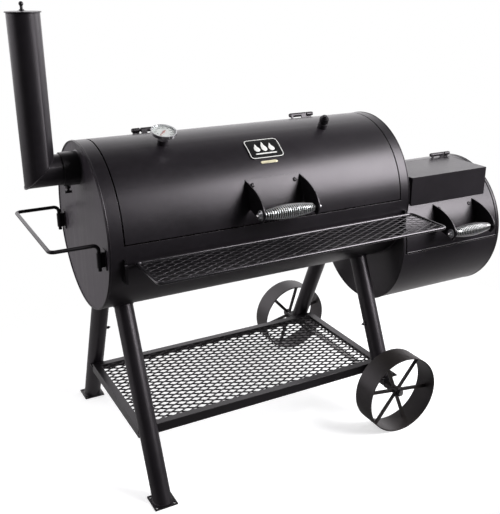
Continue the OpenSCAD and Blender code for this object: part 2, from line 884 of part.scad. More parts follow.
module grip_coil(xs, angle, r) {
    x0 = xs[0] + fin_t + grip_play;
    len = xs[1] - xs[0] - 2 * (fin_t + grip_play);
    pitch = len / grip_turns;
    ridges = [for (i = [0 : grip_turns - 1], step = [[0, 0], [0.8, 0], [0.8, 3], [1, 3]])
        [coil_r((i + 0.5) / grip_turns) - step[1], (i + step[0]) * pitch]];
    outline = concat([[grip_rod_r + 0.3, 0]], ridges, [[grip_rod_r + 0.3, len]]);
    grip_place(angle, r) translate([x0, 0, 0]) rotate([0, 90, 0])
        rotate_extrude() polygon(outline);
}

module grip_washer(x0, x1, r, sides) {
    difference() {
        translate([x0, 0, 0]) rotate([0, 90, 0]) cylinder(h = x1 - x0, r = r, $fn = sides);
        rod_x(x0 - 1, x1 + 1, grip_rod_r + 0.1);
    }
}

module handle_fasteners(xs, angle, r) {
    grip_place(angle, r) {
        grip_washer(xs[0] - 2.5, xs[0] - 0.5, 16, 48);
        grip_washer(xs[1] + 0.5, xs[1] + 2.5, 16, 48);
        grip_washer(xs[0] - 10, xs[0] - 2.5, 9, 6);
        grip_washer(xs[1] + 2.5, xs[1] + 10, 9, 6);
    }
    for (x = [xs[0] + 20, xs[1] - 22]) at_angle(x, angle + 6, r + backing_t + 0.15)
        intersection() {
            translate([0, 0, -9]) sphere(r = 13);
            cylinder(h = 5, r = 7);
        }
}

module lid_handle_bracket() color(paint_dark) barrel_frame()
    handle_bracket(lid_handle_x, barrel_r, lid_handle_angle);
module lid_grip_rod() color(bright) barrel_frame()
    grip_rod(lid_handle_x, lid_handle_angle, barrel_r);
module lid_grip_coil() color(bright) barrel_frame()
    grip_coil(lid_handle_x, lid_handle_angle, barrel_r);
module lid_handle_fasteners() color(bright) barrel_frame()
    handle_fasteners(lid_handle_x, lid_handle_angle, barrel_r);

module firebox_handle_bracket() color(paint_dark) firebox_frame()
    handle_bracket(firebox_handle_x, firebox_r, firebox_handle_angle);
module firebox_grip_rod() color(bright) firebox_frame()
    grip_rod(firebox_handle_x, firebox_handle_angle, firebox_r);
module firebox_grip_coil() color(bright) firebox_frame()
    grip_coil(firebox_handle_x, firebox_handle_angle, firebox_r);
module firebox_handle_fasteners() color(bright) firebox_frame()
    handle_fasteners(firebox_handle_x, firebox_handle_angle, firebox_r);

// ---- Lid fittings ----

module thermo_place() {
    barrel_frame() at_angle(thermo_x, thermo_angle, barrel_r) children();
}

module plug_place() {
    barrel_frame() at_angle(plug_x, plug_angle, barrel_r) children();
}

module port_bushing() {
    difference() {
        cylinder(h = bushing_h, r = bushing_r);
        translate([0, 0, -10]) cylinder(h = 40, r = port_r + 0.2);
        translate([0, 0, -barrel_r]) rod_x(-40, 40, barrel_r + 0.05);
    }
}

module lid_port_bushings() color(paint) {
    thermo_place() port_bushing();
    plug_place() port_bushing();
}

// Shallow case with its bezel, a hexagon and neck, and the probe inside the barrel
module thermometer_case() color(bright) thermo_place() {
    difference() {
        union() {
            translate([0, 0, case_base]) cylinder(h = case_top - case_base, r = dial_r);
            translate([0, 0, bushing_h]) cylinder(h = case_base - bushing_h, r = 11);
            translate([0, 0, bushing_h]) cylinder(h = 10, r = 15, $fn = 6);
        }
        translate([0, 0, case_top - case_well]) cylinder(h = 10, r = dial_r - 3);
    }
    translate([0, 0, -6]) cylinder(h = bushing_h + 6.5, r = port_r - 0.2);
    translate([0, 0, -60]) cylinder(h = 55, r = 3);
}

module thermometer_dial() color(white) thermo_place()
    translate([0, 0, case_top - case_well]) cylinder(h = 1.5, r = dial_r - 3.1);

module thermometer_needle() color("#b3231d") thermo_place()
    translate([0, 0, needle_h]) rotate([0, 0, 225]) linear_extrude(0.8) union() {
        circle(r = 3.5);
        polygon([[-12, -1.9], [0, -1.6], [27, -0.4], [27, 0.4], [0, 1.6], [-12, 1.9]]);
    }

module thermometer_glass() color("#dfe6ea", 0.35) thermo_place()
    translate([0, 0, case_top - 2.8]) cylinder(h = 2, r = dial_r - 3.1);

// Stepped plug with a ribbed head
module port_plug() color(paint_dark) plug_place() {
    translate([0, 0, -6]) cylinder(h = bushing_h + 6.5, r = port_r - 0.2);
    translate([0, 0, bushing_h]) cylinder(h = 5, r = 12);
    translate([0, 0, bushing_h + 5]) difference() {
        cylinder(h = 14, r = 15);
        for (i = [0 : 11]) rotate([0, 0, i * 30]) translate([15.6, 0, -1])
            cylinder(h = 16, r = 1.6, $fn = 16);
    }
    translate([0, 0, bushing_h + 19]) cylinder(h = 5, r = 11);
    translate([0, 0, bushing_h + 24]) cylinder(h = 4, r = 7);
}

module on_lid(x, angle, lift, t) {
    barrel_frame() intersection() {
        tube_x(x - 100, x + 100, barrel_r + lift + t, t);
        at_angle(x, angle, barrel_r - 60) linear_extrude(120) children();
    }
}

// Plain plate with rounded corners
module badge_plate() color("#19191b") on_lid(badge_x, badge_angle, 0.1, badge_t) {
    square([badge_w - 2 * badge_corner, badge_h], center = true);
    square([badge_w, badge_h - 2 * badge_corner], center = true);
    for (side = [-1, 1], end = [-1, 1])
        translate([side * (badge_w / 2 - badge_corner), end * (badge_h / 2 - badge_corner)])
            circle(r = badge_corner);
}

module badge_tag() color(brass) on_lid(tag_x, tag_angle, 0.1, 1.6)
    square([tag_w, tag_h], center = true);

barrel_shell();
left_end_cap();
right_end_cap();
grate_rails();
cooking_grate_left();
cooking_grate_right();
fixed_hinge_knuckles();
hinge_pins();
stack_collar();
stack_thumb_screw();
smokestack();
stack_cap_pivot();
stack_cap();
side_handle();
side_handle_sockets();
front_shelf_frame();
front_shelf_mesh();
front_shelf_brackets();
leg_front_left();
leg_back_left();
leg_front_right();
leg_back_right();
foot_plates();
leg_wing_screws();
bottom_shelf_frame();
bottom_shelf_mesh();
shelf_gussets();
axle_brackets();
axle();
axle_nuts();
wheel_front();
wheel_back();
firebox_shell();
firebox_inner_cap();
firebox_outer_cap();
firebox_grate();
ash_door_hinge();
ash_door();
air_damper();
main_lid();
lid_hinge_knuckles();
lid_handle_bracket();
lid_handle_fasteners();
lid_grip_rod();
lid_grip_coil();
thermometer_case();
thermometer_dial();
thermometer_needle();
thermometer_glass();
lid_port_bushings();
port_plug();
badge_plate();
badge_tag();
firebox_lid();
firebox_lid_knuckles();
firebox_handle_bracket();
firebox_handle_fasteners();
firebox_grip_rod();
firebox_grip_coil();
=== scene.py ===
"""Looks for the offset smoker: paint, plating and glass on the CAD frame, with true expanded
metal, wound grips, welds, nuts, a printed dial and a plain badge built round it."""

import json
import math

import bmesh
import bpy
import numpy as np
from mathutils import Matrix, Vector


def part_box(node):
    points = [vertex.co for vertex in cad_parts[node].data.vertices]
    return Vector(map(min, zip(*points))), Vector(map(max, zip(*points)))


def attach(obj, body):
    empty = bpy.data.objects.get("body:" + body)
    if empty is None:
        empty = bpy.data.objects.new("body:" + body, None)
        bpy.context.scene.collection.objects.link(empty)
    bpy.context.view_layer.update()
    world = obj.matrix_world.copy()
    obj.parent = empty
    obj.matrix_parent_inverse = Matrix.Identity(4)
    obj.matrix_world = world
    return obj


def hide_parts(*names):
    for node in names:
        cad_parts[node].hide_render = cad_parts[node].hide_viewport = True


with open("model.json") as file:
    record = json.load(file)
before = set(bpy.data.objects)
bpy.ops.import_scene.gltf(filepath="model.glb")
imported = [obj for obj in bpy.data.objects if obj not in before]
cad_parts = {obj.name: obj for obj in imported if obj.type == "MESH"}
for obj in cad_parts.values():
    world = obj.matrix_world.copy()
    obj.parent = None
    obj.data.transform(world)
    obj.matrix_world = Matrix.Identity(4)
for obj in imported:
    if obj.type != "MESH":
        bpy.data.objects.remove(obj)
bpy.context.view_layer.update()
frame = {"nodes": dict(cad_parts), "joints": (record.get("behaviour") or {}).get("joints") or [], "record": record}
nodes, record = frame["nodes"], frame["record"]
scene = bpy.context.scene
slots = {s["node"]: s["material_slot"] for s in record["subparts"]}
mm = 0.001


# ---- Reading places from the frame ----

def low(node):
    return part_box(node)[0]


def high(node):
    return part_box(node)[1]


def middle(node):
    lo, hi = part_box(node)
    return (lo + hi) / 2


def points(node):
    """A node's vertices as rows of x, y and z."""
    return np.array([v.co for v in nodes[node].data.vertices], float)


def joint(name):
    return next(j for j in frame["joints"] if j["name"] == name)


barrel = middle("left_end_cap")
barrel_r = (high("left_end_cap").z - low("left_end_cap").z) / 2
barrel_x = low("left_end_cap").x, high("right_end_cap").x
firebox = middle("firebox_outer_cap")
firebox_r = (high("firebox_outer_cap").z - low("firebox_outer_cap").z) / 2
firebox_x = low("firebox_inner_cap").x, high("firebox_outer_cap").x
sheet = high("left_end_cap").x - low("left_end_cap").x
fold = math.radians(32)


def on_barrel(x, angle, r):
    """A point round the barrel's axis: 0 degrees is the front and 90 the top."""
    a = math.radians(angle)
    return Vector((x, barrel.y - r * math.cos(a), barrel.z + r * math.sin(a)))


# ---- Materials ----

class Nodes:
    """A material's node tree with short ways to add and join nodes."""

    def __init__(self, name):
        self.material = bpy.data.materials.new(name)
        self.material.use_nodes = True
        self.tree = self.material.node_tree
        self.shader = self.tree.nodes["Principled BSDF"]
        self.place = self.add("ShaderNodeTexCoord").outputs["Object"]

    def add(self, kind, **inputs):
        node = self.tree.nodes.new(kind)
        for key, value in inputs.items():
            self.feed(node.inputs[key.replace("_", " ")], value)
        return node

    def feed(self, socket, value):
        if isinstance(value, bpy.types.NodeSocket):
            self.tree.links.new(value, socket)
        else:
            socket.default_value = value

    def noise(self, scale, detail=3.0, rough=0.5, stretch=None):
        place = self.place
        if stretch:
            place = self.add("ShaderNodeMapping", Vector=place, Scale=stretch).outputs[0]
        return self.add("ShaderNodeTexNoise", Vector=place, Scale=scale, Detail=detail,
                        Roughness=rough).outputs["Fac"]

    def math(self, operation, a, b=0.0):
        node = self.tree.nodes.new("ShaderNodeMath")
        node.operation = operation
        self.feed(node.inputs[0], a)
        self.feed(node.inputs[1], b)
        return node.outputs[0]

    def fit(self, value, low_in, high_in, low_out, high_out):
        node = self.tree.nodes.new("ShaderNodeMapRange")
        for key, part in zip(("Value", "From Min", "From Max", "To Min", "To Max"),
                             (value, low_in, high_in, low_out, high_out)):
            self.feed(node.inputs[key], part)
        return node.outputs[0]

    def mix(self, share, a, b):
        node = self.tree.nodes.new("ShaderNodeMix")
        node.data_type = "RGBA"
        self.feed(node.inputs[0], share)
        for socket, value in ((node.inputs[6], a), (node.inputs[7], b)):
            self.feed(socket, value if isinstance(value, bpy.types.NodeSocket) else (*value, 1))
        return node.outputs[2]

    def bump(self, height, distance, strength=1.0, under=None):
        node = self.tree.nodes.new("ShaderNodeBump")
        node.inputs["Strength"].default_value = strength
        node.inputs["Distance"].default_value = distance
        self.feed(node.inputs["Height"], height)
        if under is not None:
            self.feed(node.inputs["Normal"], under)
        return node.outputs[0]

    def set(self, **values):
        for key, value in values.items():
            if key == "Base_Color" and not isinstance(value, bpy.types.NodeSocket):
                value = (*value, 1)
            self.feed(self.shader.inputs[key.replace("_", " ")], value)
        return self.material


def scaled(colour, by):
    return tuple(min(1.0, c * by) for c in colour)


def inside(n, axis, r, ends):
    """1 where the place is inside a closed drum, and 0 outside it."""
    parts = n.add("ShaderNodeSeparateXYZ", Vector=n.place).outputs
    y = n.math("SUBTRACT", parts[1], axis.y)
    z = n.math("SUBTRACT", parts[2], axis.z)
    away = n.math("SQRT", n.math("ADD", n.math("MULTIPLY", y, y), n.math("MULTIPLY", z, z)))
    share = n.math("LESS_THAN", away, r - sheet / 2)
    share = n.math("MULTIPLY", share, n.math("GREATER_THAN", parts[0], ends[0] + sheet / 2))
    return n.math("MULTIPLY", share, n.math("LESS_THAN", parts[0], ends[1] - sheet / 2))


def paint(name, colour, rough, gloss=0.5, peel=0.00012, drum=None, streaks=0.0):
    """Sprayed satin paint: mottled colour and sheen, orange peel, fine dust and faint runs. Streaks, when asked
    for, are lighter vertical bands of painted reflection in the colour, with rougher and smoother bands.
    """
    n = Nodes(name)
    cloud = n.noise(5.0, 4.0, 0.55)
    mottle = n.noise(55.0, 4.0, 0.6)
    runs = n.noise(9.0, 3.0, 0.5, (1.0, 1.0, 0.12))
    grain = n.noise(900.0, 2.0, 0.5)
    dust = n.fit(n.noise(420.0, 2.0, 0.7), 0.62, 0.74, 0.0, 1.0)
    tone = n.math("ADD", n.math("MULTIPLY", cloud, 0.6), n.math("MULTIPLY", mottle, 0.4))
    colour_out = n.mix(n.fit(tone, 0.35, 0.65, 0.0, 1.0), scaled(colour, 0.78), scaled(colour, 1.25))
    colour_out = n.mix(n.math("MULTIPLY", dust, 0.22), colour_out, scaled(colour, 2.6))
    rough_out = n.fit(n.math("ADD", n.math("MULTIPLY", tone, 0.7), n.math("MULTIPLY", runs, 0.3)),
                      0.3, 0.7, rough - 0.035, rough + 0.045)
    rough_out = n.math("ADD", rough_out, n.math("MULTIPLY", dust, 0.05))
    if streaks:
        # Streaks: lighter vertical bands painted into the colour as a painted reflection, and bands of rougher and
        # smoother paint
        sheen_streaks = n.noise(75.0, 3.0, 0.6, (1.0, 1.0, 0.04))
        colour_out = n.mix(n.fit(sheen_streaks, 0.42, 0.68, 0.0, streaks), colour_out, scaled(colour, 2.2))
        rough_out = n.math("ADD", rough_out, n.fit(sheen_streaks, 0.3, 0.7, -0.10 * streaks, 0.10 * streaks))
    if drum:
        soot = n.math("MULTIPLY", inside(n, *drum), n.fit(mottle, 0.2, 0.6, 0.82, 1.0))
        sooty = n.mix(n.fit(cloud, 0.35, 0.65, 0.0, 1.0), (0.008, 0.0065, 0.0055), (0.03, 0.021, 0.015))
        colour_out = n.mix(soot, colour_out, sooty)
        rough_out = n.math("ADD", rough_out, n.math("MULTIPLY", soot, 0.38))
    normal = n.bump(grain, peel, 0.55)
    normal = n.bump(mottle, 0.00045, 0.35, normal)
    return n.set(Base_Color=colour_out, Roughness=rough_out, Normal=normal,
                 Specular_IOR_Level=gloss, Specular_Tint=(1.0, 0.93, 1.0, 1.0))


def highlit_worn_edge(name, colour, rough):
    """Paint on an edge, lightened 1.5 times as a painted highlight, with flecks of the steel's grey showing
    through as wear.
    """
    n = Nodes(name)
    flecks = n.fit(n.noise(130.0, 5.0, 0.7), 0.5, 0.66, 0.0, 1.0)
    fine = n.noise(1100.0, 2.0, 0.5)
    colour_out = n.mix(flecks, scaled(colour, 1.5), (0.075, 0.072, 0.076))
    return n.set(Base_Color=colour_out, Roughness=n.fit(flecks, 0.0, 1.0, rough - 0.08, rough - 0.14),
                 Metallic=n.math("MULTIPLY", flecks, 0.35), Normal=n.bump(fine, 0.00006, 0.5),
                 Specular_IOR_Level=0.5, Specular_Tint=(1.0, 0.94, 1.0, 1.0))


def metal(name, colour, rough, scale, stretch=None, spots=0.0):
    """Plated or drawn metal with fine scratches and small dull spots."""
    n = Nodes(name)
    fine = n.noise(scale, 3.0, 0.6, stretch)
    haze = n.noise(24.0, 4.0, 0.6)
    dull = n.fit(n.noise(190.0, 4.0, 0.65), 0.58, 0.72, 0.0, 1.0)
    colour_out = n.mix(n.fit(haze, 0.35, 0.7, 0.0, 1.0), colour, scaled(colour, 0.86))
    colour_out = n.mix(n.math("MULTIPLY", dull, spots), colour_out, scaled(colour, 0.42))
    rough_out = n.math("ADD", n.fit(fine, 0.3, 0.7, rough - 0.03, rough + 0.06),
                       n.math("MULTIPLY", dull, 0.12 + spots * 0.2))
    return n.set(Base_Color=colour_out, Roughness=rough_out, Metallic=1.0,
                 Normal=n.bump(fine, 0.00004, 0.4))


def seasoned_iron(name):
    """Bars baked with oil: brown-black, uneven, with duller crusted patches."""
    n = Nodes(name)
    cloud = n.noise(16.0, 5.0, 0.6)
    crust = n.fit(n.noise(95.0, 5.0, 0.7), 0.5, 0.68, 0.0, 1.0)
    colour_out = n.mix(n.fit(cloud, 0.35, 0.65, 0.0, 1.0), (0.018, 0.015, 0.014), (0.045, 0.036, 0.03))
    colour_out = n.mix(crust, colour_out, (0.06, 0.04, 0.027))
    return n.set(Base_Color=colour_out, Roughness=n.fit(crust, 0.0, 1.0, 0.42, 0.72),
                 Metallic=0.35, Normal=n.bump(crust, 0.0003, 0.6))


def printed(name, colour, rough):
    """Flat printed enamel with a slight tooth."""
    n = Nodes(name)
    tooth = n.noise(1600.0, 2.0, 0.5)
    cloud = n.noise(60.0, 3.0, 0.5)
    return n.set(Base_Color=n.mix(cloud, scaled(colour, 0.93), scaled(colour, 1.04)),
                 Roughness=n.fit(tooth, 0.3, 0.7, rough - 0.04, rough + 0.06),
                 Normal=n.bump(tooth, 0.00002, 0.4))


def clear_glass(name):
    """Flat glass: clear, with a mirror share that grows towards the edge of view."""
    n = Nodes(name)
    smear = n.noise(70.0, 3.0, 0.5)
    shine = n.add("ShaderNodeBsdfGlossy", Color=(1, 1, 1, 1), Roughness=n.fit(smear, 0.3, 0.7, 0.015, 0.05))
    through = n.add("ShaderNodeBsdfTransparent", Color=(0.97, 0.98, 0.98, 1))
    edge_on = n.add("ShaderNodeLayerWeight", Blend=0.5).outputs["Facing"]
    share = n.fit(n.math("POWER", edge_on, 4.0), 0.0, 1.0, 0.04, 0.8)
    blend = n.add("ShaderNodeMixShader", Fac=share)
    n.feed(blend.inputs[1], through.outputs[0])
    n.feed(blend.inputs[2], shine.outputs[0])
    out = n.tree.nodes["Material Output"]
    n.feed(out.inputs["Surface"], blend.outputs[0])
    n.tree.nodes.remove(n.shader)
    return n.material


def enamel(name, colour):
    n = Nodes(name)
    ripple = n.noise(45.0, 2.0, 0.5)
    return n.set(Base_Color=n.mix(ripple, scaled(colour, 0.8), scaled(colour, 1.3)),
                 Roughness=n.fit(ripple, 0.3, 0.7, 0.26, 0.34), Normal=n.bump(ripple, 0.00015, 0.3),
                 Coat_Weight=0.5, Coat_Roughness=0.12)


black = (0.0120, 0.0102, 0.0127)
dark = (0.0062, 0.0055, 0.0065)
looks = {
    "black_paint": paint("black_paint", black, 0.36),
    "dark_paint": paint("dark_paint", dark, 0.34),
    "wheel_paint": paint("wheel_paint", (0.017, 0.0145, 0.0135), 0.44),
    "mesh_paint": paint("mesh_paint", (0.0065, 0.006, 0.0075), 0.33),
    "shelf_rod": paint("shelf_rod", (0.016, 0.015, 0.017), 0.19, gloss=0.8),
    "grate_iron": seasoned_iron("grate_iron"),
    "chrome_plate": metal("chrome_plate", (0.82, 0.82, 0.84), 0.11, 600.0),
    "plain_steel": metal("plain_steel", (0.47, 0.46, 0.46), 0.30, 500.0, (0.15, 0.15, 0.15), 0.4),
    "dial_face": printed("dial_face", (0.84, 0.84, 0.82), 0.42),
    "needle_red": printed("needle_red", (0.50, 0.16, 0.13), 0.35),
    "dial_glass": clear_glass("dial_glass"),
    "badge_enamel": enamel("badge_enamel", (0.006, 0.006, 0.0065)),
    "brass_tag": metal("brass_tag", (0.93, 0.86, 0.62), 0.30, 420.0, (0.2, 1.0, 1.0), 0.25),
}
# Edge paints: each slot's colour lightened as a painted highlight along the bevels, with flecks of worn grey steel
edges = {
    "black_paint": highlit_worn_edge("black_paint_edge", black, 0.38),
    "dark_paint": highlit_worn_edge("dark_paint_edge", dark, 0.36),
    "wheel_paint": highlit_worn_edge("wheel_paint_edge", (0.017, 0.015, 0.014), 0.40),
    "shelf_rod": highlit_worn_edge("shelf_rod_edge", (0.014, 0.013, 0.0145), 0.30),
    "mesh_paint": highlit_worn_edge("mesh_paint_edge", (0.008, 0.0075, 0.0085), 0.36),
}
ink = printed("dial_ink", (0.012, 0.012, 0.014), 0.45)
barrel_paint = paint("barrel_paint", black, 0.35, drum=(barrel, barrel_r, barrel_x))
firebox_paint = paint("firebox_paint", black, 0.36, drum=(firebox, firebox_r, firebox_x))
# The end cap's paint is the barrel's black lightened 3.2 times so the end face reads as lit, which is painted
# light, with painted reflection streaks
lit_cap_paint = paint("lit_cap_paint", scaled(black, 3.2), 0.40, drum=(barrel, barrel_r, barrel_x), streaks=0.8)
own_paint = {
    "barrel_shell": barrel_paint, "left_end_cap": lit_cap_paint, "right_end_cap": barrel_paint,
    "main_lid": barrel_paint, "firebox_shell": firebox_paint, "firebox_inner_cap": firebox_paint,
    "firebox_outer_cap": firebox_paint, "firebox_lid": firebox_paint,
}


# ---- Softened edges on the CAD nodes ----

def shading_group():
    """Joins the CAD's split faces and shades them smooth up to the fold angle."""
    group = bpy.data.node_groups.new("soft_shading", "GeometryNodeTree")
    for way in ("INPUT", "OUTPUT"):
        group.interface.new_socket("Geometry", in_out=way, socket_type="NodeSocketGeometry")
    new, link = group.nodes.new, group.links.new
    start, end = new("NodeGroupInput"), new("NodeGroupOutput")
    drop = new("GeometryNodeRemoveAttribute")
    drop.inputs["Name"].default_value = "custom_normal"
    weld = new("GeometryNodeMergeByDistance")
    weld.inputs["Distance"].default_value = 1e-5
    faces = new("GeometryNodeSetShadeSmooth")
    folds = new("GeometryNodeSetShadeSmooth")
    folds.domain = "EDGE"
    angle = new("GeometryNodeInputMeshEdgeAngle")
    below = new("FunctionNodeCompare")
    below.operation = "LESS_THAN"
    below.inputs[1].default_value = fold
    link(start.outputs[0], drop.inputs["Geometry"])
    link(drop.outputs[0], weld.inputs["Geometry"])
    link(weld.outputs[0], faces.inputs["Geometry"])
    link(faces.outputs[0], folds.inputs["Geometry"])
    link(angle.outputs["Unsigned Angle"], below.inputs[0])
    link(below.outputs[0], folds.inputs["Shade Smooth"])
    link(folds.outputs[0], end.inputs[0])
    return group


soft = shading_group()
# How wide each edge bevel is, in mm; where a node takes the edge paint, the bevel carries a painted highlight with
# worn flecks. A node that isn't here has 0.6
wide = {"firebox_lid": 1.3, "bottom_shelf_frame": 0.9, "badge_plate": 0.5, "badge_tag": 0.4,
        "thermometer_case": 1.2, "thermometer_dial": 0.2, "thermometer_needle": 0.15,
        "thermometer_glass": 0.4, "stack_cap": 1.1, "port_plug": 0.8, "side_handle": 0.5,
        "air_damper": 0.8, "lid_handle_bracket": 0.7, "firebox_handle_bracket": 0.7}

# The lid keeps the CAD's own normals, and small hinge parts have no edge paint, so no painted edge highlight or
# worn flecks
crisp = ("main_lid",)
plain_edges = ("fixed_hinge_knuckles", "lid_hinge_knuckles", "firebox_lid_knuckles", "hinge_pins",
               "stack_cap_pivot")


def soften(o, width, edge_slot=None):
    shade = o.modifiers.new("shade", "NODES")
    shade.node_group = soft
    bevel = o.modifiers.new("edge", "BEVEL")
    bevel.width = width
    bevel.segments = 2
    bevel.limit_method = "ANGLE"
    bevel.angle_limit = fold
    bevel.harden_normals = True
    if edge_slot is not None:
        bevel.material = edge_slot


for name, o in nodes.items():
    slot = slots[name]
    if not o.material_slots:
        o.data.materials.append(None)
    edge = edges.get(slot)
    if edge and len(o.material_slots) < 2:
        o.data.materials.append(None)
    for s, look in zip(o.material_slots, (own_paint.get(name, looks[slot]), edge)):
        s.link = "OBJECT"
        s.material = look
    if name not in crisp:
        soften(o, wide.get(name, 0.6) * mm, 1 if edge and name not in plain_edges else None)


# ---- Building pieces ----

class Shape:
    """Vertices and faces gathered from several forms into one mesh."""

    def __init__(self):
        self.verts, self.faces = [], []

    def rings(self, rings, closed=False, capped=True):
        base, count, size = len(self.verts), len(rings), len(rings[0])
        for ring in rings:
            self.verts += [tuple(p) for p in ring]
        for i in range(count if closed else count - 1):
            a, b = base + i * size, base + (i + 1) % count * size
            self.faces += [(a + k, a + (k + 1) % size, b + (k + 1) % size, b + k) for k in range(size)]
        if capped and not closed:
            self.faces.append(tuple(base + k for k in reversed(range(size))))
            self.faces.append(tuple(base + (count - 1) * size + k for k in range(size)))
        return self

    def tube(self, path, radius, sides=10, closed=False):
        """A round bar along a path. radius is one number, or one for each point."""
        path = [Vector(p) for p in path]
        count = len(path)
        sizes = [radius] * count if isinstance(radius, (int, float)) else radius
        ways = []
        for i in range(count):
            a = path[i - 1] if i or closed else path[i]
            b = path[(i + 1) % count] if i < count - 1 or closed else path[i]
            ways.append((b - a).normalized())
        side = ways[0].orthogonal().normalized()
        rings = []
        for p, way, size in zip(path, ways, sizes):
            side = (side - way * side.dot(way)).normalized()
            up = way.cross(side)
            rings.append([p + (side * math.cos(t) + up * math.sin(t)) * size
                          for t in (2 * math.pi * k / sides for k in range(sides))])
        return self.rings(rings, closed)

    def lathe(self, origin, axis, profile, segments=40, closed=False):
        """A profile of (radius, height) turned about an axis."""
        axis = Vector(axis).normalized()
        side = axis.orthogonal().normalized()
        up = axis.cross(side)
        rings = [[origin + axis * h + (side * math.cos(t) + up * math.sin(t)) * max(r, 1e-6)
                  for t in (2 * math.pi * k / segments for k in range(segments))] for r, h in profile]
        return self.rings(rings, closed)

    def washer(self, origin, axis, outer, bore, height):
        c = min(height * 0.3, 0.0006)
        profile = [(bore, 0), (outer - c, 0), (outer, c), (outer, height - c), (outer - c, height),
                   (bore, height)]
        return self.lathe(origin, axis, profile, 48, closed=True)

    def nut(self, origin, axis, flat, bore, height, turn=0.0, segments=72):
        """A hexagon nut whose corners are turned down at both ends. flat is half its width."""
        axis = Vector(axis).normalized()
        side = axis.orthogonal().normalized()
        up = axis.cross(side)
        inner, drop = flat * 0.97, math.tan(math.radians(30))

        def ring(size, lift):
            out = []
            for k in range(segments):
                t = 2 * math.pi * k / segments
                hexagon = flat / math.cos((t + math.pi / 6) % (math.pi / 3) - math.pi / 6)
                r = hexagon if size is None else size
                rise = (hexagon - inner) * drop if size is None else 0.0
                h = lift - rise if lift > 0 else rise
                out.append(origin + axis * h + (side * math.cos(t + turn) + up * math.sin(t + turn)) * r)
            return out

        return self.rings([ring(bore, 0), ring(inner, 0), ring(None, 0), ring(None, height),
                           ring(inner, height), ring(bore, height)], closed=True)

    def thread(self, origin, axis, r, length, pitch=0.00125):
        steps = max(2, int(length / pitch * 2))
        profile = [(0, 0)] + [(r - (0.0004 if k % 2 else 0), length * k / steps) for k in range(steps)]
        return self.lathe(origin, axis, profile + [(r - 0.001, length), (0, length)], 24)

    def bead(self, path, radius, closed=False, seed=0):
        """A weld: a round run whose height ripples and wanders a little."""
        path = [Vector(p) for p in path]
        run, sizes = 0.0, []
        for i, p in enumerate(path):
            run += (p - path[i - 1]).length if i else 0.0
            ripple = 0.10 * math.sin(run / 0.0011) + 0.07 * math.sin(run / 0.013 + seed) \
                + 0.05 * math.sin(run / 0.0041 + 2.1 * seed)
            sizes.append(radius * (1 + ripple))
        return self.tube(path, sizes, 8, closed)


def piece(name, shape, body, slot, replaces=(), look=None, bevel=None, smooth=True):
    """Makes a mesh object that rides on a body and takes its finish from a slot."""
    mesh = bpy.data.meshes.new(name)
    mesh.from_pydata(shape.verts, [], shape.faces)
    work = bmesh.new()
    work.from_mesh(mesh)
    bmesh.ops.remove_doubles(work, verts=work.verts, dist=1e-7)
    bmesh.ops.recalc_face_normals(work, faces=work.faces)
    work.to_mesh(mesh)
    work.free()
    o = bpy.data.objects.new(name, mesh)
    scene.collection.objects.link(o)
    mesh.materials.append(look or looks[slot])
    mesh.polygons.foreach_set("use_smooth", [smooth] * len(mesh.polygons))
    if bevel:
        if slot in edges:
            mesh.materials.append(edges[slot])
        soften(o, bevel, 1 if slot in edges else None)
    elif smooth:
        shade = o.modifiers.new("shade", "NODES")
        shade.node_group = soft
    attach(o, body)
    if replaces:
        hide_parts(*replaces)
    return o


def resampled(path, step, closed=False):
    """The same line with points a step apart."""
    path = [Vector(p) for p in path] + ([Vector(path[0])] if closed else [])
    lengths = [0.0]
    for a, b in zip(path, path[1:]):
        lengths.append(lengths[-1] + (b - a).length)
    count = max(2, int(lengths[-1] / step))
    out, at = [], 0
    for i in range(count if closed else count + 1):
        want = lengths[-1] * i / count
        while at < len(lengths) - 2 and lengths[at + 1] < want:
            at += 1
        span = lengths[at + 1] - lengths[at]
        out.append(path[at].lerp(path[at + 1], (want - lengths[at]) / span if span else 0.0))
    return out


def circle(centre, axis, r, count=256, start=0.0, end=360.0):
    axis = Vector(axis).normalized()
    side = axis.orthogonal().normalized()
    up = axis.cross(side)
    full = end - start >= 360
    steps = count if full else count + 1
    return [Vector(centre) + (side * math.cos(t) + up * math.sin(t)) * r
            for t in (math.radians(start + (end - start) * k / count) for k in range(steps))]


# ---- Expanded metal ----

